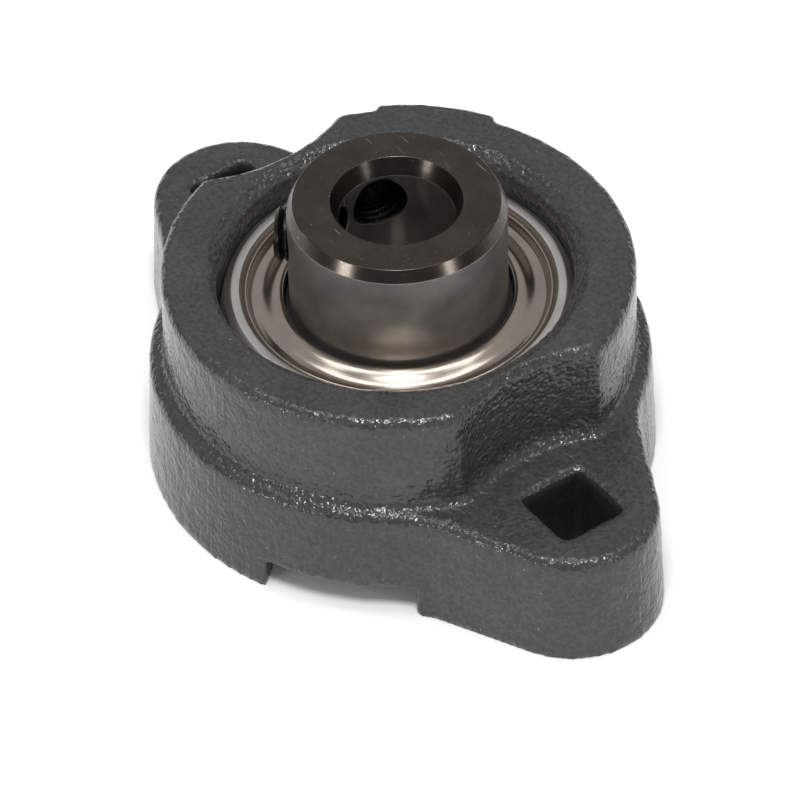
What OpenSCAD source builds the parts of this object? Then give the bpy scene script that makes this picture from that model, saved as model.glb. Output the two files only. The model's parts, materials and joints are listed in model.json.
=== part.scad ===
// Two-bolt flange bearing: a self-aligning ball insert in a cast flange housing.
// Millimetres, +Z up. The origin is on the bore axis, on the mounting face; +X runs through an ear.

/* [Bearing insert] */
// Shaft diameter that the bore takes
bore_d = 12.7; // [10:0.1:14]
// Outside diameter of the inner ring
inner_d = 24.1; // [23.4:0.1:24.8]
// Spherical outside diameter of the outer ring
outer_d = 40; // [39.2:0.1:41.2]
// Reach of the inner ring from the bearing centre to its set-screw end
collar_l = 18.3; // [17:0.1:24]
// Reach of the inner ring from the bearing centre to its rear end
tail_l = 6.9; // [6.2:0.1:9]
// Width of the chamfer round the set-screw end
collar_chamfer = 0.7; // [0.3:0.1:1.5]
// Width of the lead-in chamfer of the bore
bore_chamfer = 0.9; // [0.3:0.1:1.5]
// Radial gap between the outer ring and its spherical seat
seat_gap = 0.06; // [0.02:0.01:0.1]

/* [Ball set] */
// Share of the gap between the inner ring and the spherical face that a ball fills
ball_share = 0.8487; // [0.8:0.0001:0.87]
// Number of balls
ball_count = 8; // [6:1:8]
// Depth of the groove in the inner ring
inner_groove = 1.05; // [0.8:0.05:1.3]
// Depth of the groove in the outer ring
outer_groove = 0.8; // [0.6:0.05:1]
// Radial gap between a ball and each raceway
race_gap = 0.03; // [0.01:0.01:0.06]
// Sheet thickness of the cage
cage_t = 0.5; // [0.4:0.05:0.6]
// Radial width of the cage ribbon
cage_w = 1.9; // [1.5:0.1:2.2]
// Gap between a ball and its pocket
pocket_gap = 0.12; // [0.05:0.01:0.2]
// Diameter of a cage rivet
rivet_d = 1; // [0.8:0.1:1.2]
// Gap between the cage and a shield
cage_clear = 0.2564; // [0.15:0.0001:0.6]

/* [Shields and seals] */
// Sheet thickness of a shield
shield_t = 0.4; // [0.3:0.05:0.45]
// Depth of the shield's dish below the ring face
shield_dish = 1.2; // [1.1:0.05:1.3]
// Open gap between the shield and the inner ring
shield_gap = 0.45; // [0.3:0.05:0.6]
// Gap between the seal lip and the inner ring
lip_gap = 0.05; // [0.02:0.01:0.1]

/* [Set screws] */
// Thread diameter of a set screw
screw_d = 6.35; // [4.8:0.05:7]
// Length of a set screw
screw_l = 4.8; // [4:0.05:6.5]
// How far a set screw stands out of the inner ring
screw_out = 1.3; // [0.4:0.1:2]
// Distance from the inner ring's end to the screw axis
screw_inset = 5.5; // [4.6:0.1:7]
// Direction of the first screw, from the +X ear
screw_angle = 164; // [0:1:359]
// Angle between the two screws
screw_spread = 65; // [60:1:120]
// Key size of the hexagon socket
socket_af = 3.175; // [2:0.025:3.5]

/* [Housing] */
// Height of the housing's front face above the mounting face
housing_h = 26.1; // [24.5:0.1:32]
// Height of the bearing centre above the mounting face
seat_z = 16.6; // [16:0.1:18]
// Radius of the round body
body_r = 26.1; // [25:0.1:26.6]
// Radius of the round part of the flange
base_r = 28.4; // [27.8:0.1:32]
// Thickness of the flange and its ears
flange_t = 13.8; // [10:0.1:16]
// Distance between the two bolt holes
bolt_spacing = 63.5; // [61:0.1:72]
// Side of a square bolt hole
bolt_square = 8.1; // [6.5:0.1:9]
// Radius of the ear tips
ear_tip_r = 10.1; // [8.5:0.1:11]
// Slope of the ear sides from the line through the bolts
ear_slope = 27; // [22:1:32]
// Radius of the blend between an ear and the round part of the flange
root_blend = 16; // [6:1:24]
// Distance from a bolt axis to the clearance cut in the body
cut_gap = 9.5; // [9:0.1:11]
// Radius of the clearance cut
cut_r = 20; // [16:0.5:26]
// How far the loading slots reach past the seat
slot_reach = 0.55; // [0.2:0.05:1]
// Radius of the wall of a loading slot
slot_r = 17; // [14:0.5:18]
// Depth of the dished edge round the opening
dish_h = 1.3; // [0.6:0.1:2]
// Width of the dished edge round the opening
dish_w = 1.8; // [0.8:0.1:2.2]
// Radius of the cored recess in the mounting face
recess_r = 22.5; // [20.5:0.1:24]
// Width of the relief notches in the mounting face
notch_w = 17; // [10:0.5:20]
// Height of the relief notches
notch_h = 3.7; // [1:0.1:5]
// Direction of the first relief notch, from the +X ear
notch_angle = -50; // [-60:1:-40]
// How far the blank grease boss stands out of the body
boss_out = 0.95; // [0.5:0.05:1.3]
// Direction of the boss, from the +X ear
boss_angle = 135; // [120:1:145]
// Angle that the boss covers
boss_sweep = 29; // [20:1:36]

/* [Casting edges] */
// Radius of the rounded cast edges
edge_r = 1.2; // [0.6:0.1:1.6]
// Radius of the fillet between the body and the flange
foot_r = 0.8; // [0.3:0.05:0.85]
// Radius of the fillet at the foot of a clearance cut
cut_fillet = 2.2; // [1:0.1:3]
// Draft of the flange walls in degrees
draft = 2.5; // [0:0.5:4]

/* [Hidden] */
$fn = 96;
hull_sides = 40;
past = 1;

inner_r = inner_d / 2;
outer_r = outer_d / 2;
seat_r = outer_r + seat_gap;

ball_r = ball_share * (outer_r - inner_r) / 2;
groove_ratio = 1.04;
groove_r = groove_ratio * ball_r;
inner_race_r = inner_r - inner_groove;
pitch_r = inner_race_r + race_gap + ball_r;
outer_race_r = pitch_r + ball_r + race_gap;
outer_land_r = outer_race_r - outer_groove;
ball_step = 360 / ball_count;
pocket_r = ball_r + pocket_gap;
cage_top = pocket_r + cage_t;
rivet_head_d = 1.6 * rivet_d;
rivet_head_h = 0.35;

shield_in_r = inner_r + shield_gap;
groove_w = 0.4;
groove_drop = 0.15;
lip_w = 0.45;
lip_drop = 0.4;
seal_t = 0.4;
seal_w = 0.7;
seal_fit = 0.05;
seal_out_r = shield_in_r + seal_w;
seal_drop = pitch_r - cage_w / 2 > seal_out_r ? 0 : lip_drop + seal_fit + seal_t;
ring_h = cage_top + cage_clear + max(groove_drop, seal_drop) + shield_t + shield_dish;
ring_corner_h = ring_h - 0.6;
ring_corner_r = sqrt(outer_r * outer_r - ring_corner_h * ring_corner_h);
ring_face_r = ring_corner_r - 0.8;

shield_step = 0.5;
shield_fit = 0.05;
shield_seat_r = outer_land_r + shield_step;
shield_seat_h = ring_h - shield_dish;
shield_out_r = shield_seat_r - shield_fit;
rim_drop = 0.8;
bead_w = 0.75;
bead_drop = 0.3;
bead_foot_w = 1.55;
bead_foot_r = shield_out_r - bead_foot_w;
crest_w = 0.4;
crest_rise = 0.5;
crest_r = shield_in_r + lip_w + groove_w + crest_w;
band_share = 0.72;
band_foot_r = crest_r + band_share * (bead_foot_r - crest_r);
curve_steps = 5;

seal_rise = 0.5;
seal_slope = 0.15;
seal_h = shield_seat_h - shield_t - lip_drop - seal_fit;

screw_clear = 0.06;
screw_h = collar_l - screw_inset;
screw_tip = inner_r + screw_out - screw_l;
screw_chamfer = 0.5;
socket_depth = screw_l * 0.45;
cup_depth = 0.7;
cup_tip_r = 0.2;

bore_r = bore_d / 2;
bore_slope = 2.3 * bore_chamfer;
collar_slope = 2 * collar_chamfer;
tail_chamfer = 0.5;

seat_trim = 0.4;
seat_half = ring_h - seat_trim;
mouth_r = sqrt(seat_r * seat_r - seat_half * seat_half);
ear_root_r = ear_tip_r + bolt_spacing / 2 * sin(ear_slope);
blend_step = 0.05;
blend_sink = 4;
edge_h = flange_t - edge_r;
edge_dip = 0.01;
edge_meet = edge_r - edge_dip;
edge_lean = tan(draft) * (edge_h + edge_r * sin(draft)) + edge_r * cos(draft);
cut_x = bolt_spacing / 2 - cut_gap + cut_r;
cut_sink = 0.4;
body_sink = 3;
body_foot = flange_t - body_sink;

// Half profile of a drafted disc with a rounded upper edge.
module flange_disc(r, sides) {
    rim = r - edge_lean;
    rotate_extrude($fn = sides) {
        polygon([
            [0, 0],
            [r, 0],
            [rim + edge_meet * cos(draft), edge_h + edge_meet * sin(draft)],
            [rim, flange_t],
            [0, flange_t]
        ]);
        translate([rim, edge_h]) circle(edge_r, $fn = 32);
    }
}

// Concave blend where one side of an ear runs into the round part of the flange.
module root_fill() {
    side = [sin(ear_slope), cos(ear_slope)];
    along = [cos(ear_slope), -sin(ear_slope)];
    reach = sqrt(pow(base_r + root_blend, 2) - pow(ear_root_r + root_blend, 2));
    centre = (ear_root_r + root_blend) * side + reach * along;
    wall = root_blend + blend_step;
    rim = wall + edge_lean;
    difference() {
        linear_extrude(flange_t) polygon([
            centre,
            centre * (base_r - blend_sink) / (base_r + root_blend),
            centre - (root_blend + blend_sink) * side
        ]);
        translate(centre) rotate_extrude() difference() {
            polygon([
                [0, -past],
                [wall - past * tan(draft), -past],
                [rim - edge_meet * cos(draft), edge_h + edge_meet * sin(draft)],
                [rim, edge_h + edge_meet * sin(draft)],
                [rim, flange_t + past],
                [0, flange_t + past]
            ]);
            translate([rim, edge_h]) circle(edge_r);
        }
    }
}

// Half profile of the round body or its boss, with a rounded upper edge.
module body_profile(r) {
    translate([0, body_foot]) square([r - edge_r, housing_h - body_foot]);
    translate([0, body_foot]) square([r, housing_h - edge_r - body_foot]);
    translate([r - edge_r, housing_h - edge_r]) circle(edge_r);
}

// Half profile of the fillet between the body and the flange.
module foot_profile() {
    difference() {
        translate([0, body_foot]) square([body_r + foot_r, body_sink + foot_r]);
        translate([body_r + foot_r, flange_t + foot_r]) circle(foot_r);
    }
}

// Cutter that clears a bolt head and its wrench, rounded at its foot and at its upper edge.
module bolt_cut() {
    edge_foot = housing_h - edge_r - flange_t + cut_sink;
    translate([cut_x, 0, flange_t - cut_sink]) rotate_extrude() {
        square([cut_r - cut_fillet, housing_h]);
        translate([0, cut_fillet]) square([cut_r, housing_h]);
        translate([cut_r - cut_fillet, cut_fillet]) circle(cut_fillet);
        difference() {
            translate([0, edge_foot]) square([cut_r + edge_r, edge_r + past]);
            translate([cut_r + edge_r, edge_foot]) circle(edge_r);
        }
    }
}

module flange() {
    flange_disc(base_r, $fn);
    hull() {
        flange_disc(ear_root_r, hull_sides);
        for (side = [-1, 1])
            translate([side * bolt_spacing / 2, 0, 0]) flange_disc(ear_tip_r, hull_sides);
    }
    for (x = [0, 1], y = [0, 1]) mirror([x, 0, 0]) mirror([0, y, 0]) root_fill();
}

module body() {
    difference() {
        union() {
            rotate_extrude() {
                body_profile(body_r);
                foot_profile();
            }
            rotate([0, 0, boss_angle - boss_sweep / 2])
                rotate_extrude(angle = boss_sweep) body_profile(body_r + boss_out);
        }
        for (side = [0, 180]) rotate([0, 0, side]) bolt_cut();
    }
}

// Seat, opening and core: everything that is cut round the bearing's axis.
module seat_cut() {
    translate([0, 0, seat_z]) {
        sphere(seat_r);
        cylinder(h = housing_h, r = mouth_r);
        for (side = [-1, 1])
            translate([0, side * (seat_r + slot_reach - slot_r), 0]) cylinder(h = housing_h, r = slot_r);
    }
    translate([0, 0, housing_h - dish_h])
        cylinder(h = 2 * dish_h, r1 = mouth_r, r2 = mouth_r + 2 * dish_w);
    translate([0, 0, -past]) cylinder(h = seat_z - seat_half + past, r1 = recess_r, r2 = mouth_r);
}

module housing() {
    color("#3b413e") difference() {
        union() {
            flange();
            body();
        }
        seat_cut();
        for (side = [-1, 1])
            translate([side * bolt_spacing / 2, 0, flange_t / 2])
                cube([bolt_square, bolt_square, 2 * flange_t], center = true);
        for (turn = [0, 180])
            rotate([0, 0, notch_angle + turn])
                translate([mouth_r, -notch_w / 2, -past]) cube([base_r, notch_w, notch_h + past]);
    }
}

// Torus that turns the raceway of a ring, with its groove bottom at the given radius.
module raceway(centre_r) {
    rotate_extrude() translate([centre_r, 0]) circle(groove_r);
}

module outer_ring() {
    color("#b9b7b2") translate([0, 0, seat_z]) difference() {
        intersection() {
            sphere(outer_r);
            rotate_extrude() polygon([
                [outer_land_r, -ring_h],
                [ring_face_r, -ring_h],
                [ring_corner_r, -ring_corner_h],
                [outer_r + past, -ring_corner_h],
                [outer_r + past, ring_corner_h],
                [ring_corner_r, ring_corner_h],
                [ring_face_r, ring_h],
                [outer_land_r, ring_h]
            ]);
        }
        raceway(outer_race_r - groove_r);
        for (side = [0, 1])
            mirror([0, 0, side]) translate([0, 0, shield_seat_h]) cylinder(h = ring_h, r = shield_seat_r);
    }
}

module screw_axis(which) {
    rotate([0, 0, screw_angle + which * screw_spread])
        translate([0, 0, screw_h]) rotate([0, 90, 0]) children();
}

module inner_ring() {
    color("#6f6a64") translate([0, 0, seat_z]) difference() {
        rotate_extrude() polygon([
            [bore_r + tail_chamfer, -tail_l],
            [inner_r - tail_chamfer, -tail_l],
            [inner_r, -tail_l + tail_chamfer],
            [inner_r, collar_l - collar_slope],
            [inner_r - collar_chamfer, collar_l],
            [bore_r + bore_chamfer, collar_l],
            [bore_r, collar_l - bore_slope],
            [bore_r, -tail_l + tail_chamfer]
        ]);
        raceway(inner_race_r + groove_r);
        for (which = [0, 1]) screw_axis(which) cylinder(h = inner_d, d = screw_d);
    }
}

module ball(i) {
    color("#c9c9cb") translate([0, 0, seat_z]) rotate([0, 0, i * ball_step])
        translate([pitch_r, 0, 0]) sphere(ball_r);
}

// One half of the ribbon cage: a flat band between the balls that domes over each of them.
module cage_half() {
    difference() {
        intersection() {
            difference() {
                cylinder(h = cage_top + past, r = pitch_r + cage_w / 2);
                translate([0, 0, -past]) cylinder(h = cage_top + 3 * past, r = pitch_r - cage_w / 2);
            }
            union() {
                cylinder(h = cage_t, r = pitch_r + cage_w);
                for (i = [1:ball_count])
                    rotate([0, 0, i * ball_step]) translate([pitch_r, 0, 0]) sphere(cage_top);
            }
        }
        for (i = [1:ball_count]) {
            rotate([0, 0, i * ball_step]) translate([pitch_r, 0, 0]) sphere(pocket_r);
            rotate([0, 0, (i + 0.5) * ball_step])
                translate([pitch_r, 0, -past]) cylinder(h = 3 * past, d = rivet_d);
        }
    }
}

module cage_front() {
    color("#a8a49a") translate([0, 0, seat_z]) cage_half();
}

module cage_rear() {
    color("#a8a49a") translate([0, 0, seat_z]) mirror([0, 0, 1]) cage_half();
}

module cage_rivets() {
    color("#98948c") translate([0, 0, seat_z])
        for (i = [1:ball_count])
            rotate([0, 0, (i + 0.5) * ball_step]) translate([pitch_r, 0, 0]) {
                cylinder(h = 2 * cage_t, d = rivet_d, center = true);
                for (side = [0, 1])
                    mirror([0, 0, side]) translate([0, 0, cage_t])
                        cylinder(h = rivet_head_h, d1 = rivet_head_d, d2 = rivet_d);
            }
}

// Height that eases from one key point of the shield's profile to the next.
function eased(a, b, t) = a + (b - a) * (1 - cos(180 * t)) / 2;

// Upper line of the shield: rim, crimped bead, trough, sloping band, crest, groove and rolled lip.
function shield_keys() = [
    [shield_out_r, ring_h - rim_drop],
    [shield_out_r - bead_w, ring_h - bead_drop],
    [bead_foot_r, shield_seat_h - groove_drop],
    [band_foot_r, shield_seat_h - groove_drop],
    [crest_r, shield_seat_h + crest_rise],
    [shield_in_r + lip_w + groove_w, shield_seat_h - groove_drop],
    [shield_in_r + lip_w, shield_seat_h],
    [shield_in_r, shield_seat_h - lip_drop]
];

function shield_line(keys) = concat(
    [for (k = [0:len(keys) - 2]) for (j = [0:curve_steps - 1]) let (t = j / curve_steps)
        [keys[k].x + (keys[k + 1].x - keys[k].x) * t, eased(keys[k].y, keys[k + 1].y, t)]],
    [keys[len(keys) - 1]]
);

module shield() {
    line = shield_line(shield_keys());
    rotate_extrude() polygon(concat(
        line,
        [for (k = [len(line) - 1:-1:0]) line[k] - [0, shield_t]]
    ));
}

module front_shield() {
    color("#c2bbb0") translate([0, 0, seat_z]) shield();
}

module rear_shield() {
    color("#c2bbb0") translate([0, 0, seat_z]) mirror([0, 0, 1]) shield();
}

// Rubber ring under the shield's lip, with a lip of its own that closes the gap to the inner ring.
module seal() {
    lip_r = inner_r + lip_gap;
    rotate_extrude() polygon([
        [lip_r, seal_h - seal_t],
        [seal_out_r, seal_h - seal_t],
        [seal_out_r, seal_h],
        [shield_in_r - seal_fit, seal_h],
        [shield_in_r - seal_fit, seal_h + seal_rise],
        [lip_r, seal_h + seal_rise - seal_slope]
    ]);
}

module front_seal() {
    color("#1c1b1a") translate([0, 0, seat_z]) seal();
}

module rear_seal() {
    color("#1c1b1a") translate([0, 0, seat_z]) mirror([0, 0, 1]) seal();
}

// Cup-point socket set screw, standing a little out of the ring and clear of the bore.
module set_screw(which) {
    r = screw_d / 2 - screw_clear;
    color("#1d1d1e") translate([0, 0, seat_z]) screw_axis(which) translate([0, 0, screw_tip]) difference() {
        rotate_extrude() polygon([
            [0, 0],
            [r - 2 * screw_chamfer, 0],
            [r, 2 * screw_chamfer],
            [r, screw_l - screw_chamfer],
            [r - screw_chamfer, screw_l],
            [0, screw_l]
        ]);
        translate([0, 0, screw_l - socket_depth]) cylinder(h = screw_l, d = socket_af / cos(30), $fn = 6);
        translate([0, 0, -past]) cylinder(h = cup_depth + past, r1 = r - screw_chamfer, r2 = cup_tip_r);
    }
}

housing();
outer_ring();
inner_ring();
for (i = [1:ball_count]) ball(i);
cage_front();
cage_rear();
cage_rivets();
front_shield();
rear_shield();
front_seal();
rear_seal();
for (which = [0, 1]) set_screw(which);
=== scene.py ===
import json
import math

import bpy
from mathutils import Matrix, Vector

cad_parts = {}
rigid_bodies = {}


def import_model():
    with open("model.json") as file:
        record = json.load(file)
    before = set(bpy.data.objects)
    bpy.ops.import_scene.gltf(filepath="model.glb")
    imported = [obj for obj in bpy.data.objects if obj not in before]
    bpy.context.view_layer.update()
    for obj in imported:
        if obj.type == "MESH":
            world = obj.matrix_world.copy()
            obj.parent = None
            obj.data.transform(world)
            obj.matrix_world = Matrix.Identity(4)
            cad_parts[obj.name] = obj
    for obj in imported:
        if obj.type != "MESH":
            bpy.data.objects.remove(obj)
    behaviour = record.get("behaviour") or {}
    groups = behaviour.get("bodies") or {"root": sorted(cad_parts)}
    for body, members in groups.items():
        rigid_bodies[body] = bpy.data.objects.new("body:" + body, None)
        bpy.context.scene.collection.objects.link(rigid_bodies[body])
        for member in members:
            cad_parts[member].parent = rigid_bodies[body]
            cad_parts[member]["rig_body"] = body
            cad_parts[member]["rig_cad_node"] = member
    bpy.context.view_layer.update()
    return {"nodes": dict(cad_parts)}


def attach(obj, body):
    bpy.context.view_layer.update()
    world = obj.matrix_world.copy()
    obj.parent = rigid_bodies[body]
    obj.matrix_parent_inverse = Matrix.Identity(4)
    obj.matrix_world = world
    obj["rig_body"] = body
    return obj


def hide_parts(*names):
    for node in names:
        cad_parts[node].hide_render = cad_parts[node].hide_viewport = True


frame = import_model()
nodes = frame["nodes"]
mm = 0.001
mergeDistance = 0.001 * mm
smoothDegrees = 38
ringSteps = 144
screwSteps = 48
grooveSteps = 5
noiseLow, noiseHigh = 0.3, 0.7  # the range in which most of a noise texture lies
seatHeight = 16.6  # height in mm of the ball row and of the spherical seat's middle
print("frame loaded:", len(nodes), "nodes")


def deselectAll():
    if bpy.context.object and bpy.context.object.mode != "OBJECT":
        bpy.ops.object.mode_set(mode="OBJECT")
    bpy.ops.object.select_all(action="DESELECT")


def pick(piece):
    deselectAll()
    piece.select_set(True)
    bpy.context.view_layer.objects.active = piece


def nameBoth(piece, name):
    piece.name = name
    piece.data.name = name


# a CAD node's mesh as a new piece, its loose triangles merged
def copyOf(nodeName, pieceName):
    pick(nodes[nodeName])
    bpy.ops.object.duplicate()
    piece = bpy.context.object
    nameBoth(piece, pieceName)
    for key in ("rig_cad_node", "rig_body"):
        del piece[key]
    bpy.ops.object.parent_clear(type="CLEAR_KEEP_TRANSFORM")
    bpy.ops.object.mode_set(mode="EDIT")
    bpy.ops.mesh.select_all(action="SELECT")
    bpy.ops.mesh.remove_doubles(threshold=mergeDistance)
    bpy.ops.object.mode_set(mode="OBJECT")
    return piece


def applyModifier(piece, kind, **settings):
    pick(piece)
    modifier = piece.modifiers.new(kind.lower(), kind)
    for name, value in settings.items():
        setattr(modifier, name, value)
    bpy.ops.object.modifier_apply(modifier=modifier.name)


# vertices picked by their place, in millimetres
def groupWhere(piece, groupName, test):
    group = piece.vertex_groups.new(name=groupName)
    group.add([v.index for v in piece.data.vertices if test(v.co / mm)], 1.0, "REPLACE")
    return group.name


# a plane shrunk to one vertex and drawn out through (radius, height) points, in millimetres;
# the line closes on itself unless it starts on the axis
def drawLine(pieceName, line):
    deselectAll()
    bpy.ops.mesh.primitive_plane_add(size=mm, location=(0, 0, 0))
    piece = bpy.context.object
    nameBoth(piece, pieceName)
    bpy.ops.object.mode_set(mode="EDIT")
    bpy.ops.mesh.merge(type="CENTER")
    bpy.ops.transform.translate(value=(line[0][0] * mm, 0, line[0][1] * mm))
    ends = line[1:] + (line[:1] if line[0][0] > 0 else [])
    for here, there in zip(line, ends):
        step = ((there[0] - here[0]) * mm, 0, (there[1] - here[1]) * mm)
        bpy.ops.mesh.extrude_vertices_move(TRANSFORM_OT_translate={"value": step})
    bpy.ops.mesh.select_all(action="SELECT")
    bpy.ops.mesh.remove_doubles(threshold=mergeDistance)
    return piece


# a drawn line with its corners rounded, spun round the Z axis into a closed piece
def turnLine(pieceName, line, cornerMm, steps):
    piece = drawLine(pieceName, line)
    bpy.ops.mesh.select_all(action="SELECT")
    if cornerMm:
        bpy.ops.mesh.bevel(offset=cornerMm * mm, segments=3, affect="VERTICES")
        bpy.ops.mesh.select_all(action="SELECT")
    bpy.ops.mesh.spin(steps=steps, angle=2 * math.pi, center=(0, 0, 0), axis=(0, 0, 1))
    bpy.ops.mesh.select_all(action="SELECT")
    bpy.ops.mesh.remove_doubles(threshold=mergeDistance)
    bpy.ops.mesh.normals_make_consistent(inside=False)
    bpy.ops.object.mode_set(mode="OBJECT")
    return piece


# a vee section screwed up the Z axis into a closed cutter
def veeThread(vee, pitchMm, turns):
    piece = drawLine("veeThread", vee)
    bpy.ops.object.mode_set(mode="OBJECT")
    steps = 32
    applyModifier(piece, "SCREW", axis="Z", screw_offset=pitchMm * mm, iterations=turns,
                  steps=steps, render_steps=steps)
    bpy.ops.object.mode_set(mode="EDIT")
    bpy.ops.mesh.select_all(action="SELECT")
    bpy.ops.mesh.fill_holes(sides=3)
    bpy.ops.mesh.select_all(action="SELECT")
    bpy.ops.mesh.normals_make_consistent(inside=False)
    bpy.ops.object.mode_set(mode="OBJECT")
    return piece


# a cutter or screw built up the Z axis, laid along a screw's axis
def layOnAxis(piece, angleDegrees, heightMm, reachMm):
    angle = math.radians(angleDegrees)
    piece.rotation_euler = (0, math.pi / 2, angle)
    piece.location = Vector((reachMm * math.cos(angle), reachMm * math.sin(angle), heightMm)) * mm
    pick(piece)
    bpy.ops.object.transform_apply(location=True, rotation=True, scale=True)


# a piece with a cutter taken out of it; the slivers that the cut leaves are dissolved
def cutAway(piece, cutter):
    applyModifier(piece, "BOOLEAN", operation="DIFFERENCE", object=cutter, solver="EXACT")
    pick(cutter)
    bpy.ops.object.delete()
    pick(piece)
    bpy.ops.object.mode_set(mode="EDIT")
    bpy.ops.mesh.select_all(action="SELECT")
    bpy.ops.mesh.dissolve_degenerate(threshold=mergeDistance)
    bpy.ops.object.mode_set(mode="OBJECT")


# a piece built round the origin, brought up to its height with its transform applied
def liftPiece(piece, heightMm):
    pick(piece)
    piece.location.z = heightMm * mm
    bpy.ops.object.transform_apply(location=True, rotation=True, scale=True)


# the last step for every made piece: shading, material, and what the frame has to know of it
def finishPiece(piece, bodyName, material, slotName, *replaced):
    pick(piece)
    bpy.ops.object.shade_smooth_by_angle(angle=math.radians(smoothDegrees))
    piece.data.materials.clear()
    piece.data.materials.append(material)
    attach(piece, bodyName)
    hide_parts(*replaced)
    print(piece.name, "made:", len(piece.data.polygons), "faces")


# sRGB hex to the linear colour that a socket takes
def colour(hexText):
    parts = [int(hexText[i:i + 2], 16) / 255 for i in (1, 3, 5)]
    return [p / 12.92 if p <= 0.04045 else ((p + 0.055) / 1.055) ** 2.4 for p in parts] + [1.0]


# one node with its options, inputs and ramp stops: a socket is linked, a plain value is set
def addNode(tree, kind, options=None, inputs=None, stops=None):
    node = tree.nodes.new("ShaderNode" + kind)
    for name, value in (options or {}).items():
        setattr(node, name, value)
    for key, value in (inputs or {}).items():
        if isinstance(value, bpy.types.NodeSocket):
            tree.links.new(value, node.inputs[key])
        else:
            node.inputs[key].default_value = value
    for index, (place, shade) in enumerate(stops or []):
        elements = node.color_ramp.elements
        element = elements[index] if index < len(elements) else elements.new(place)
        element.position = place
        element.color = colour(shade) if isinstance(shade, str) else (shade, shade, shade, 1)
    return node


def newMaterial(name):
    material = bpy.data.materials.new(name)
    material.use_nodes = True
    material.node_tree.nodes.clear()
    return material, material.node_tree


castPaint = {
    "skin": "#373737",
    "thin": "#3e3e3d",
    # near black painted into the bolt holes: painted shade of their depths
    "cored": "#101010",
    "speck": "#8d8c89",
    "roughness": (0.1, 0.17),
    "coredRoughness": 0.8,
    "pebbleMm": 1.3,
    "pebbleDepthMm": 0.3,
    "grainMm": 0.5,
    "grainDepthMm": 0.26,
    "streakMm": 0.5,
    "streakDepthMm": 0.08,
    "streakStretch": (1.0, 1.0, 0.1),
    "patchMm": 6.0,
    "patch": (0.35, 0.7),
    "dustMm": 0.33,
    "dust": [(0.76, 0.0), (0.81, 1.0)],
    "ior": 1.47,
    "relief": [(0.1, 0.42), (0.3, 0.62), (0.88, 0.62), (0.97, 0.42)],
    # grain hollows made darker and tops lighter in colour: painted shade at the grain's scale
    "mottle": [(0.35, 0.78), (0.65, 1.12)],
    "boltReachMm": 31.75,
    "boltHalfMm": 4.4,
    "boltDepthsMm": (13.4, 12.2),
    "cutReachMm": 42.25,
    "cutRadiusMm": 20.7,
    "cutHeightsMm": (13.8, 15.0),
}
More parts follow.
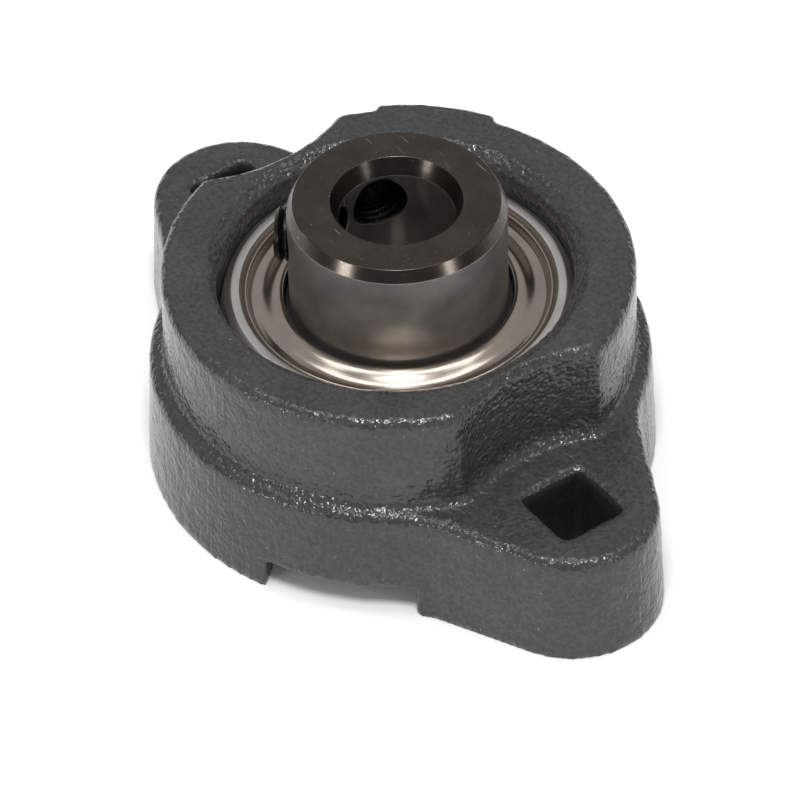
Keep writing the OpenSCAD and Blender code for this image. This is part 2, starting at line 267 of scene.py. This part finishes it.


# satin enamel on sand-cast grey iron: a dark skin that follows every grain of the sand mould, glossy
# enough for the grains on a rounded edge to catch the light as specks; the pattern's draw leaves the
# walls and flat faces smoother, with faint upright streaks, while the walls of the two bolt clearances
# stay coarse; the bolt holes are painted near black, more so further down, as painted shade
def makeCastPaint():
    material, tree = newMaterial("satinEnamelOnSandCastIron")
    spot = addNode(tree, "TexCoord").outputs
    place = spot["Object"]
    pebble = addNode(tree, "TexNoise", inputs={
        "Vector": place, "Scale": 1 / (castPaint["pebbleMm"] * mm), "Detail": 1.0, "Roughness": 0.4})
    grain = addNode(tree, "TexNoise", inputs={
        "Vector": place, "Scale": 1 / (castPaint["grainMm"] * mm), "Detail": 1.0, "Roughness": 0.3})
    drawn = addNode(tree, "Mapping", inputs={"Vector": place, "Scale": castPaint["streakStretch"]})
    streak = addNode(tree, "TexNoise", inputs={
        "Vector": drawn.outputs["Vector"], "Scale": 1 / (castPaint["streakMm"] * mm), "Detail": 2.0})
    broad = addNode(tree, "TexNoise", inputs={
        "Vector": place, "Scale": 1 / (castPaint["patchMm"] * mm), "Detail": 3.0, "Roughness": 0.6})
    tone = addNode(tree, "ValToRGB", inputs={0: broad.outputs["Fac"]},
                   stops=list(zip(castPaint["patch"], (castPaint["skin"], castPaint["thin"]))))
    # a random mottle on the sand grain, darker in its hollows and lighter on its tops: painted shade from
    # the same noise as the grain's bump
    mottle = addNode(tree, "ValToRGB", inputs={0: grain.outputs["Fac"]}, stops=castPaint["mottle"])
    mottled = addNode(tree, "Mix", {"data_type": "RGBA", "blend_type": "MULTIPLY"}, {
        0: 1.0, 6: tone.outputs["Color"], 7: mottle.outputs["Color"]})
    dust = addNode(tree, "TexNoise", inputs={
        "Vector": place, "Scale": 1 / (castPaint["dustMm"] * mm), "Detail": 1.0})
    specks = addNode(tree, "ValToRGB", inputs={0: dust.outputs["Fac"]}, stops=castPaint["dust"])
    dusted = addNode(tree, "Mix", {"data_type": "RGBA"}, {
        0: specks.outputs["Color"], 6: mottled.outputs[2], 7: colour(castPaint["speck"])})
    parts = addNode(tree, "SeparateXYZ", inputs={"Vector": place})
    away = addNode(tree, "Math", {"operation": "ABSOLUTE"}, {0: parts.outputs["X"]})
    offset = addNode(tree, "Math", {"operation": "SUBTRACT"}, {
        0: away.outputs["Value"], 1: castPaint["boltReachMm"] * mm})
    along = addNode(tree, "Math", {"operation": "ABSOLUTE"}, {0: offset.outputs["Value"]})
    aside = addNode(tree, "Math", {"operation": "ABSOLUTE"}, {0: parts.outputs["Y"]})
    outside = addNode(tree, "Math", {"operation": "MAXIMUM"}, {
        0: along.outputs["Value"], 1: aside.outputs["Value"]})
    within = addNode(tree, "Math", {"operation": "LESS_THAN"}, {
        0: outside.outputs["Value"], 1: castPaint["boltHalfMm"] * mm})
    start, stop = castPaint["boltDepthsMm"]
    deep = addNode(tree, "MapRange", inputs={
        "Value": parts.outputs["Z"], "From Min": start * mm, "From Max": stop * mm})
    cored = addNode(tree, "Math", {"operation": "MULTIPLY"}, {
        0: within.outputs["Value"], 1: deep.outputs["Result"]})
    # the bolt holes' colour painted near black, more so further down: painted shade
    skinned = addNode(tree, "Mix", {"data_type": "RGBA"}, {
        0: cored.outputs["Value"], 6: dusted.outputs[2], 7: colour(castPaint["cored"])})
    low, high = castPaint["roughness"]
    gloss = addNode(tree, "MapRange", inputs={
        "Value": pebble.outputs["Fac"], "From Min": noiseLow, "From Max": noiseHigh,
        "To Min": low, "To Max": high})
    sheen = addNode(tree, "Mix", {"data_type": "FLOAT"}, {
        0: cored.outputs["Value"], 2: gloss.outputs["Result"], 3: castPaint["coredRoughness"]})
    rise = addNode(tree, "SeparateXYZ", inputs={"Vector": spot["Normal"]})
    lean = addNode(tree, "Math", {"operation": "ABSOLUTE"}, {0: rise.outputs["Z"]})
    relief = addNode(tree, "ValToRGB", inputs={0: lean.outputs["Value"]}, stops=castPaint["relief"])
    beyond = addNode(tree, "Math", {"operation": "SUBTRACT"}, {
        0: away.outputs["Value"], 1: castPaint["cutReachMm"] * mm})
    swept = addNode(tree, "CombineXYZ", inputs={"X": beyond.outputs["Value"], "Y": parts.outputs["Y"]})
    sweep = addNode(tree, "VectorMath", {"operation": "LENGTH"}, {0: swept.outputs["Vector"]})
    hollow = addNode(tree, "Math", {"operation": "LESS_THAN"}, {
        0: sweep.outputs["Value"], 1: castPaint["cutRadiusMm"] * mm})
    start, stop = castPaint["cutHeightsMm"]
    above = addNode(tree, "MapRange", inputs={
        "Value": parts.outputs["Z"], "From Min": start * mm, "From Max": stop * mm})
    coarse = addNode(tree, "Math", {"operation": "MULTIPLY"}, {
        0: hollow.outputs["Value"], 1: above.outputs["Result"]})
    bite = addNode(tree, "Math", {"operation": "MAXIMUM"}, {
        0: relief.outputs["Color"], 1: coarse.outputs["Value"]})
    lined = addNode(tree, "Bump", inputs={
        "Height": streak.outputs["Fac"], "Distance": castPaint["streakDepthMm"] * mm})
    wide = addNode(tree, "Bump", inputs={
        "Height": pebble.outputs["Fac"], "Distance": castPaint["pebbleDepthMm"] * mm,
        "Strength": bite.outputs["Value"], "Normal": lined.outputs["Normal"]})
    fine = addNode(tree, "Bump", inputs={
        "Height": grain.outputs["Fac"], "Distance": castPaint["grainDepthMm"] * mm,
        "Strength": bite.outputs["Value"], "Normal": wide.outputs["Normal"]})
    shader = addNode(tree, "BsdfPrincipled", inputs={
        "Base Color": skinned.outputs[2], "Roughness": sheen.outputs[0], "IOR": castPaint["ior"],
        "Normal": fine.outputs["Normal"]})
    addNode(tree, "OutputMaterial", inputs={"Surface": shader.outputs["BSDF"]})
    return material


handlingWear = {
    "speckMm": 0.3,
    "scratchMm": 0.2,
    "scratchTurn": (0.3, 0.2, 0.7),
    "scratchStretch": (0.06, 1.0, 1.0),
    "markFade": 0.06,
    "cloud": (0.32, 0.68),
}


# turned or ground steel: fine rings round the bore, laid out by the distance from the axis and the
# height, with handling scratches across them and a few specks of dust; a zone is an area with its own
# tone and roughness, used for skins left as hardened or worked in another way and for painted shade
def makeRingSteel(name, finish):
    material, tree = newMaterial(name)
    place = addNode(tree, "TexCoord").outputs["Object"]
    parts = addNode(tree, "SeparateXYZ", inputs={"Vector": place})
    flat = addNode(tree, "CombineXYZ", inputs={"X": parts.outputs["X"], "Y": parts.outputs["Y"]})
    radius = addNode(tree, "VectorMath", {"operation": "LENGTH"}, {0: flat.outputs["Vector"]})
    across = addNode(tree, "CombineXYZ", inputs={
        "X": radius.outputs["Value"], "Z": parts.outputs["Z"]})
    lines = addNode(tree, "TexNoise", inputs={
        "Vector": across.outputs["Vector"], "Scale": 1 / (finish["lineMm"] * mm), "Detail": 2.0})
    patch = addNode(tree, "TexNoise", inputs={
        "Vector": place, "Scale": 1 / (finish["patchMm"] * mm), "Detail": 3.0, "Roughness": 0.5})
    speck = addNode(tree, "TexNoise", inputs={
        "Vector": place, "Scale": 1 / (handlingWear["speckMm"] * mm), "Detail": 1.0})
    slanted = addNode(tree, "Mapping", inputs={
        "Vector": place, "Rotation": handlingWear["scratchTurn"], "Scale": handlingWear["scratchStretch"]})
    scratch = addNode(tree, "TexNoise", inputs={
        "Vector": slanted.outputs["Vector"], "Scale": 1 / (handlingWear["scratchMm"] * mm), "Detail": 1.0})
    worn = addNode(tree, "Math", {"operation": "MAXIMUM"}, {
        0: speck.outputs["Fac"], 1: scratch.outputs["Fac"]})
    markFrom, markTo = finish["markFrom"], finish["markFrom"] + handlingWear["markFade"]
    marks = addNode(tree, "ValToRGB", inputs={0: worn.outputs["Value"]},
                    stops=[(markFrom, 0.0), (markTo, 1.0)])
    low, high = finish["roughness"]
    gloss = addNode(tree, "MapRange", inputs={
        "Value": patch.outputs["Fac"], "From Min": noiseLow, "From Max": noiseHigh,
        "To Min": low, "To Max": high})
    bump = addNode(tree, "Bump", inputs={
        "Height": lines.outputs["Fac"], "Distance": finish["lineDepthMm"] * mm})
    skin, sheen = colour(finish["tone"]), gloss.outputs["Result"]
    for zone in finish.get("zones", []):
        masks = []
        for value, (start, stop) in ((radius.outputs["Value"], zone["radiiMm"]),
                                     (parts.outputs["Z"], zone["heightsMm"])):
            masks.append(addNode(tree, "Math", {"operation": "COMPARE"}, {
                0: value, 1: (start + stop) / 2 * mm, 2: (stop - start) / 2 * mm}).outputs["Value"])
        inside = addNode(tree, "Math", {"operation": "MULTIPLY"}, {
            0: masks[0], 1: masks[1]}).outputs["Value"]
        skin = addNode(tree, "Mix", {"data_type": "RGBA"}, {
            0: inside, 6: skin, 7: colour(zone["tone"])}).outputs[2]
        sheen = addNode(tree, "Mix", {"data_type": "FLOAT"}, {
            0: inside, 2: sheen, 3: zone["roughness"]}).outputs[0]
    cloudFrom, cloudTo = handlingWear["cloud"]
    cloud = addNode(tree, "ValToRGB", inputs={0: patch.outputs["Fac"]},
                    stops=[(cloudFrom, 1.0 - finish["patchShare"]), (cloudTo, 1.0)])
    clouded = addNode(tree, "Mix", {"data_type": "RGBA", "blend_type": "MULTIPLY"}, {
        0: 1.0, 6: skin, 7: cloud.outputs["Color"]})
    marked = addNode(tree, "Mix", {"data_type": "RGBA"}, {
        0: marks.outputs["Color"], 6: clouded.outputs[2], 7: colour(finish["mark"])})
    shader = addNode(tree, "BsdfPrincipled", inputs={
        "Base Color": marked.outputs[2], "Roughness": sheen, "Metallic": finish.get("metallic", 1.0),
        "Normal": bump.outputs["Normal"]})
    addNode(tree, "OutputMaterial", inputs={"Surface": shader.outputs["BSDF"]})
    return material


nitrileRubber = {
    "bloomMm": 1.5,
    "bloomDepthMm": 0.02,
    "tones": [(0.35, "#141312"), (0.75, "#23211f")],
    "roughness": 0.6,
    "ior": 1.52,
}


# nitrile rubber, moulded: near black and dull, with a faint bloom
def makeSealRubber():
    material, tree = newMaterial("mouldedNitrileRubber")
    place = addNode(tree, "TexCoord").outputs["Object"]
    bloom = addNode(tree, "TexNoise", inputs={
        "Vector": place, "Scale": 1 / (nitrileRubber["bloomMm"] * mm), "Detail": 3.0})
    tone = addNode(tree, "ValToRGB", inputs={0: bloom.outputs["Fac"]}, stops=nitrileRubber["tones"])
    bump = addNode(tree, "Bump", inputs={
        "Height": bloom.outputs["Fac"], "Distance": nitrileRubber["bloomDepthMm"] * mm})
    shader = addNode(tree, "BsdfPrincipled", inputs={
        "Base Color": tone.outputs["Color"], "Roughness": nitrileRubber["roughness"],
        "IOR": nitrileRubber["ior"], "Normal": bump.outputs["Normal"]})
    addNode(tree, "OutputMaterial", inputs={"Surface": shader.outputs["BSDF"]})
    return material


blackOxide = {
    "rubMm": 0.8,
    "rubDepthMm": 0.02,
    "tones": [(0.4, "#171718"), (0.75, "#3a3938")],
    "roughness": (0.28, 0.42),
    "metallic": 0.8,
}


# black-oxide alloy steel, lightly oiled: a thin dark skin, rubbed brighter in places
def makeBlackOxide():
    material, tree = newMaterial("oiledBlackOxideSteel")
    place = addNode(tree, "TexCoord").outputs["Object"]
    rub = addNode(tree, "TexNoise", inputs={
        "Vector": place, "Scale": 1 / (blackOxide["rubMm"] * mm), "Detail": 4.0})
    tone = addNode(tree, "ValToRGB", inputs={0: rub.outputs["Fac"]}, stops=blackOxide["tones"])
    low, high = blackOxide["roughness"]
    gloss = addNode(tree, "MapRange", inputs={
        "Value": rub.outputs["Fac"], "From Min": noiseLow, "From Max": noiseHigh,
        "To Min": low, "To Max": high})
    bump = addNode(tree, "Bump", inputs={
        "Height": rub.outputs["Fac"], "Distance": blackOxide["rubDepthMm"] * mm})
    shader = addNode(tree, "BsdfPrincipled", inputs={
        "Base Color": tone.outputs["Color"], "Roughness": gloss.outputs["Result"],
        "Metallic": blackOxide["metallic"], "Normal": bump.outputs["Normal"]})
    addNode(tree, "OutputMaterial", inputs={"Surface": shader.outputs["BSDF"]})
    return material


paint = makeCastPaint()
# through-hardened bearing steel of the outer ring, ground to a dull light grey
groundSteel = makeRingSteel("groundBearingSteel", {
    "tone": "#d0cdc8", "mark": "#e0ded9", "markFrom": 0.74, "roughness": (0.36, 0.44),
    "lineMm": 0.1, "lineDepthMm": 0.004, "patchMm": 5.0, "patchShare": 0.15})
# bearing steel of the inner ring, ground outside; the zones are its two ends, a darker hardened skin whose
# tone is also lowered as painted shade for the dark surroundings their chamfers reflect, the tapped holes
# painted near black as painted shade, and the honed bore
collarSteel = makeRingSteel("groundInnerRingSteel", {
    "tone": "#9d9995", "mark": "#a09b94", "markFrom": 0.735, "roughness": (0.36, 0.42),
    "lineMm": 0.08, "lineDepthMm": 0.004, "patchMm": 3.0, "patchShare": 0.25, "metallic": 0.92,
    "zones": [
        # the ends: their darker skin, lowered further as painted shade for the dark surroundings the
        # chamfers reflect
        {"radiiMm": (6.4, 12.03), "heightsMm": (32.7, 35.0), "tone": "#534d47", "roughness": 0.2},
        {"radiiMm": (6.4, 12.03), "heightsMm": (9.6, 11.9), "tone": "#534d47", "roughness": 0.2},
        # the tapped holes painted near black: painted shade
        {"radiiMm": (6.6, 11.9), "heightsMm": (26.0, 32.6), "tone": "#1c1a19", "roughness": 0.5},
        {"radiiMm": (6.2, 6.4), "heightsMm": (9.6, 35.0), "tone": "#c2bdb7", "roughness": 0.1},
    ]})
# bright cold-rolled steel sheet of the shields, pressed, a little warm with oil
shieldSteel = makeRingSteel("pressedBrightSteelSheet", {
    "tone": "#b0a59b", "mark": "#8d847b", "markFrom": 0.76, "roughness": (0.17, 0.23),
    "lineMm": 0.15, "lineDepthMm": 0.003, "patchMm": 4.0, "patchShare": 0.15})
# plain cold-rolled steel sheet of the cage and its rivets
cageSteel = makeRingSteel("pressedCageSteelSheet", {
    "tone": "#b3aca1", "mark": "#777067", "markFrom": 0.72, "roughness": (0.25, 0.4),
    "lineMm": 0.3, "lineDepthMm": 0.01, "patchMm": 2.0, "patchShare": 0.25})
# chrome steel of the balls, lapped to a mirror
ballSteel = makeRingSteel("polishedChromeSteel", {
    "tone": "#d2d2d4", "mark": "#b5b5b7", "markFrom": 0.8, "roughness": (0.05, 0.1),
    "lineMm": 1.0, "lineDepthMm": 0.001, "patchMm": 3.0, "patchShare": 0.08})
blackSteel = makeBlackOxide()
sealRubber = makeSealRubber()
print("materials made")

castHousing = {
    "voxelMm": 0.42,
    "softPasses": 3,
    "footPasses": 2,
    "softFactor": 0.5,
    "footMm": 0.7,
    "lumpMm": 1.9,
    "lumpDepthMm": 0.16,
    "lumpFromMm": 0.4,
    "lumpMiddle": 0.6,
    "lumpDetail": 2,
    "seatRadiusMm": 20.4,
}


# the cast housing: its edges softened as a sand mould leaves them and its skin lumpy, with the spherical
# seat kept true and the foot kept flat
def makeCastHousing():
    piece = copyOf("housing", "castHousing")
    applyModifier(piece, "REMESH", mode="VOXEL", voxel_size=castHousing["voxelMm"] * mm,
                  use_smooth_shade=True)
    seat = Vector((0, 0, seatHeight))
    seatReach, footTop = castHousing["seatRadiusMm"], castHousing["footMm"]
    factor = castHousing["softFactor"]
    skin = groupWhere(piece, "skin", lambda p: (p - seat).length > seatReach and p.z > footTop)
    applyModifier(piece, "SMOOTH", factor=factor, iterations=castHousing["softPasses"], vertex_group=skin)
    foot = groupWhere(piece, "foot", lambda p: p.z <= footTop)
    applyModifier(piece, "SMOOTH", factor=factor, iterations=castHousing["footPasses"], use_z=False,
                  vertex_group=foot)
    lumps = bpy.data.textures.new("sandLumps", "CLOUDS")
    lumps.noise_scale = castHousing["lumpMm"] * mm
    lumps.noise_depth = castHousing["lumpDetail"]
    lumpFrom = castHousing["lumpFromMm"]
    rough = groupWhere(piece, "rough", lambda p: (p - seat).length > seatReach and p.z > lumpFrom)
    applyModifier(piece, "DISPLACE", texture=lumps, texture_coords="LOCAL", vertex_group=rough,
                  mid_level=castHousing["lumpMiddle"], strength=castHousing["lumpDepthMm"] * mm)
    piece.vertex_groups.clear()
    finishPiece(piece, "housing", paint, "painted_casting", "housing")


makeCastHousing()

turnedInnerRing = {
    "boreRadius": 6.35,
    "outRadius": 12.05,
    "top": 18.3,
    "tail": -6.9,
    "grooveCentre": 14.509,
    "grooveRadius": 3.509,
    "grooveHalf": 2.503,
    "edgeRound": 0.07,
    "tailChamfer": 0.5,
    "rimChamfer": (0.7, 1.4),
    "mouthChamfer": (0.9, 2.07),
    "screwAngles": (164, 229),
    "screwHeight": 29.4,
    "holeRadius": 3.175,
    "drillStart": 3,
    "drillLength": 11,
    "threadPitch": 0.907,
    "threadTurns": 11,
    "threadVee": [(-0.1, -0.26), (0.18, 0), (-0.1, 0.26)],
}


# a ball groove's section as (reach from its centre, height) points, from the bottom up
def ballGroove(ring):
    radius = ring["grooveRadius"]
    swing = math.asin(ring["grooveHalf"] / radius)
    angles = [swing * k / grooveSteps for k in range(-grooveSteps, grooveSteps + 1)]
    return [(radius * math.cos(angle), radius * math.sin(angle)) for angle in angles]


# the inner ring: turned with broken edges, its two tapped holes threaded
def makeInnerRing():
    ring = turnedInnerRing
    bore, out, top, tail = ring["boreRadius"], ring["outRadius"], ring["top"], ring["tail"]
    broken = ring["tailChamfer"]
    rimIn, rimDrop = ring["rimChamfer"]
    mouthIn, mouthDrop = ring["mouthChamfer"]
    groove = [(ring["grooveCentre"] - across, height) for across, height in ballGroove(ring)]
    line = [(bore + broken, tail), (out - broken, tail), (out, tail + broken)] + groove + [
        (out, top - rimDrop), (out - rimIn, top), (bore + mouthIn, top), (bore, top - mouthDrop),
        (bore, tail + broken)]
    piece = turnLine("turnedInnerRing", line, ring["edgeRound"], ringSteps)
    liftPiece(piece, seatHeight)
    hole, length = ring["holeRadius"], ring["drillLength"]
    vee = [(hole + across, height) for across, height in ring["threadVee"]]
    for angle in ring["screwAngles"]:
        drill = turnLine("drill", [(0, 0), (hole, 0), (hole, length), (0, length)], 0, screwSteps)
        layOnAxis(drill, angle, ring["screwHeight"], ring["drillStart"])
        cutAway(piece, drill)
        tap = veeThread(vee, ring["threadPitch"], ring["threadTurns"])
        layOnAxis(tap, angle, ring["screwHeight"], ring["drillStart"])
        cutAway(piece, tap)
    finishPiece(piece, "inner_ring", collarSteel, "dark_ground_steel", "inner_ring")
    applyModifier(piece, "WEIGHTED_NORMAL", mode="FACE_AREA", weight=50, keep_sharp=True)


makeInnerRing()

groundOuterRing = {
    "sphereRadius": 20.0,
    "half": 6.0,
    "cornerHalf": 5.4,
    "faceRadius": 18.457,
    "landRadius": 17.007,
    "seatRadius": 17.507,
    "seatHalf": 4.8,
    "grooveCentre": 14.299,
    "grooveRadius": 3.509,
    "grooveHalf": 2.23,
    "edgeRound": 0.08,
    "sphereSteps": 8,
}


# the outer ring: ground to a sphere outside, with a stepped seat for a shield in each face
def makeOuterRing():
    ring = groundOuterRing
    sphere, steps = ring["sphereRadius"], ring["sphereSteps"]
    lean = math.asin(ring["cornerHalf"] / sphere)
    angles = [lean * k / steps for k in range(steps, -steps - 1, -1)]
    outside = [(sphere * math.cos(angle), sphere * math.sin(angle)) for angle in angles]
    groove = [(ring["grooveCentre"] + across, height) for across, height in ballGroove(ring)]
    half, seat, seatHalf, land = ring["half"], ring["seatRadius"], ring["seatHalf"], ring["landRadius"]
    line = [(seat, half), (ring["faceRadius"], half)] + outside + [
        (ring["faceRadius"], -half), (seat, -half), (seat, -seatHalf), (land, -seatHalf)] + groove + [
        (land, seatHalf), (seat, seatHalf)]
    piece = turnLine("groundOuterRing", line, ring["edgeRound"], ringSteps)
    liftPiece(piece, seatHeight)
    finishPiece(piece, "insert", groundSteel, "ground_steel", "outer_ring")


makeOuterRing()

pressedShield = {
    "sheet": 0.4,
    "keys": [(17.457, 5.2), (16.85, 5.68), (16.1, 4.72), (15.5, 4.65), (13.15, 5.55),
             (12.75, 5.35), (12.5, 4.4)],
    "stepsPerKey": 8,
}


# a pressed steel shield: crimped bead, trough, sloping band and rolled lip, one smooth line; made once
# and copied, the rear one turned over
def makeShields():
    keys, steps = pressedShield["keys"], pressedShield["stepsPerKey"]
    upper = []
    for (r0, z0), (r1, z1) in zip(keys, keys[1:]):
        for k in range(steps):
            share = k / steps
            eased = (1 - math.cos(math.pi * share)) / 2
            upper.append((r0 + (r1 - r0) * share, z0 + (z1 - z0) * eased))
    upper.append(keys[-1])
    lower = [(r, z - pressedShield["sheet"]) for r, z in reversed(upper)]
    front = turnLine("pressedFrontShield", upper + lower, 0, ringSteps)
    pick(front)
    bpy.ops.object.duplicate()
    rear = bpy.context.object
    nameBoth(rear, "pressedRearShield")
    rear.rotation_euler.x = math.pi
    liftPiece(front, seatHeight)
    liftPiece(rear, seatHeight)
    finishPiece(front, "insert", shieldSteel, "shield_steel", "front_shield")
    finishPiece(rear, "insert", shieldSteel, "shield_steel", "rear_shield")


makeShields()

setScrew = {
    "radius": 3.1,
    "length": 4.8,
    "tipReach": 8.55,
    "keySize": 3.175,
    "socketDepth": 2.16,
    "threadDepth": 0.46,
    "threadHalf": 0.4,
    "threadClear": 0.1,
    "threadTurns": 7,
    "edgeRound": 0.06,
    "tipChamfer": 1,
    "headChamfer": 0.5,
    "cup": [(0, 0.7), (0.2, 0.7), (1.25, 0)],
}


# a cup-point set screw with a rolled thread and a hexagon socket, made once and copied for the
# second hole
def makeSetScrews():
    r, length = setScrew["radius"], setScrew["length"]
    tip, head = setScrew["tipChamfer"], setScrew["headChamfer"]
    line = setScrew["cup"] + [
        (r - tip, 0), (r, tip), (r, length - head), (r - head, length), (0, length)]
    first = turnLine("setScrewOne", line, setScrew["edgeRound"], screwSteps)
    deselectAll()
    bpy.ops.mesh.primitive_cylinder_add(
        vertices=6, radius=setScrew["keySize"] / math.sqrt(3) * mm, depth=2 * setScrew["socketDepth"] * mm,
        location=(0, 0, length * mm))
    cutAway(first, bpy.context.object)
    outer, half = r + setScrew["threadClear"], setScrew["threadHalf"]
    vee = [(outer, -half), (outer, half), (r - setScrew["threadDepth"], 0)]
    cutAway(first, veeThread(vee, turnedInnerRing["threadPitch"], setScrew["threadTurns"]))
    pick(first)
    bpy.ops.object.duplicate()
    second = bpy.context.object
    nameBoth(second, "setScrewTwo")
    pairs = zip((first, second), turnedInnerRing["screwAngles"], ("set_screw_1", "set_screw_2"))
    for piece, angle, body in pairs:
        layOnAxis(piece, angle, turnedInnerRing["screwHeight"], setScrew["tipReach"])
        finishPiece(piece, body, blackSteel, "black_oxide_steel", body)


makeSetScrews()

finishes = {
    "housing": paint,
    "outer_ring": groundSteel,
    "inner_ring": collarSteel,
    "cage_front": cageSteel,
    "cage_rear": cageSteel,
    "cage_rivets": cageSteel,
    "front_shield": shieldSteel,
    "rear_shield": shieldSteel,
    "front_seal": sealRubber,
    "rear_seal": sealRubber,
    "set_screw_1": blackSteel,
    "set_screw_2": blackSteel,
}
for nodeName, node in nodes.items():
    node.data.materials.clear()
    node.data.materials.append(finishes.get(nodeName, ballSteel))
print("finishes given to the CAD nodes")

studio = {
    "floorShade": "#fafafa",
    "floorSize": 1.4,
    "lamps": {
        "keyBox": {"size": (0.42, 0.42), "place": (0.48, -0.34, 1.6), "watts": 17.0},
        "overBox": {
            "size": (1.9, 0.48), "place": (-0.1, 0.07, 1.7), "watts": 10.0, "acrossDegrees": 55.4},
        "leftBox": {"size": (0.3, 0.3), "place": (0.1, -1.5, 0.3), "watts": 4.5},
        "rightBox": {"size": (0.2, 0.2), "place": (1.46, 0.38, 0.3), "watts": 2.2},
    },
    "sky": [(0.0, 0.06), (0.55, 0.06), (0.7, 0.52), (0.9, 0.52), (1.0, 0.1)],
}


# a white paper floor, lamps aimed at the part, and a dim room that is lighter half-way up
def makeStudio():
    deselectAll()
    bpy.ops.mesh.primitive_plane_add(size=studio["floorSize"], location=(0, 0, 0))
    floor = bpy.context.object
    floor.name = "floor"
    material, tree = newMaterial("whiteStudioPaper")
    plain = addNode(tree, "BsdfDiffuse", inputs={"Color": colour(studio["floorShade"])})
    addNode(tree, "OutputMaterial", inputs={"Surface": plain.outputs["BSDF"]})
    floor.data.materials.append(material)
    for name, box in studio["lamps"].items():
        bpy.ops.object.light_add(type="AREA", location=box["place"])
        lamp = bpy.context.object
        lamp.name = name
        lamp.data.shape = "RECTANGLE"
        lamp.data.size, lamp.data.size_y = box["size"]
        lamp.data.energy = box["watts"]
        aim = Vector((0, 0, seatHeight * mm)) - lamp.location
        lamp.rotation_euler = aim.to_track_quat("-Z", "Y").to_euler()
        if "acrossDegrees" in box:
            lamp.rotation_euler = (0, 0, math.radians(box["acrossDegrees"]))
    world = bpy.data.worlds.new("studioRoom")
    world.use_nodes = True
    tree = world.node_tree
    tree.nodes.clear()
    way = addNode(tree, "TexCoord").outputs["Generated"]
    height = addNode(tree, "SeparateXYZ", inputs={"Vector": way}).outputs["Z"]
    climb = addNode(tree, "MapRange", inputs={"Value": height, "From Min": -1.0, "From Max": 1.0})
    sky = addNode(tree, "ValToRGB", inputs={0: climb.outputs["Result"]}, stops=studio["sky"])
    room = addNode(tree, "Background", inputs={"Color": sky.outputs["Color"], "Strength": 1.0})
    addNode(tree, "OutputWorld", inputs={"Surface": room.outputs["Background"]})
    bpy.context.scene.world = world
    bpy.context.scene.view_settings.view_transform = "Standard"
    print("studio lit")


makeStudio()

camera = {
    "place": (0.4393, -0.3035, 0.5055),
    "rollDegrees": -1.49,
    "lens": 295.3,
    "shift": (-0.0033, 0.0425),
    "sensorWidth": 36.0,
    "clip": (0.01, 20.0),
}


# the camera fitted to the photo: aimed at the origin, rolled, with the picture shifted
def makeCamera():
    bpy.ops.object.camera_add(location=camera["place"])
    eye = bpy.context.object
    eye.name = "photoCamera"
    turn = (-eye.location).to_track_quat("-Z", "Y").to_matrix()
    roll = Matrix.Rotation(math.radians(camera["rollDegrees"]), 3, "Z")
    eye.rotation_euler = (turn @ roll).to_euler()
    eye.data.sensor_width = camera["sensorWidth"]
    eye.data.lens = camera["lens"]
    eye.data.shift_x, eye.data.shift_y = camera["shift"]
    eye.data.clip_start, eye.data.clip_end = camera["clip"]
    bpy.context.scene.camera = eye
    print("camera set")


makeCamera()
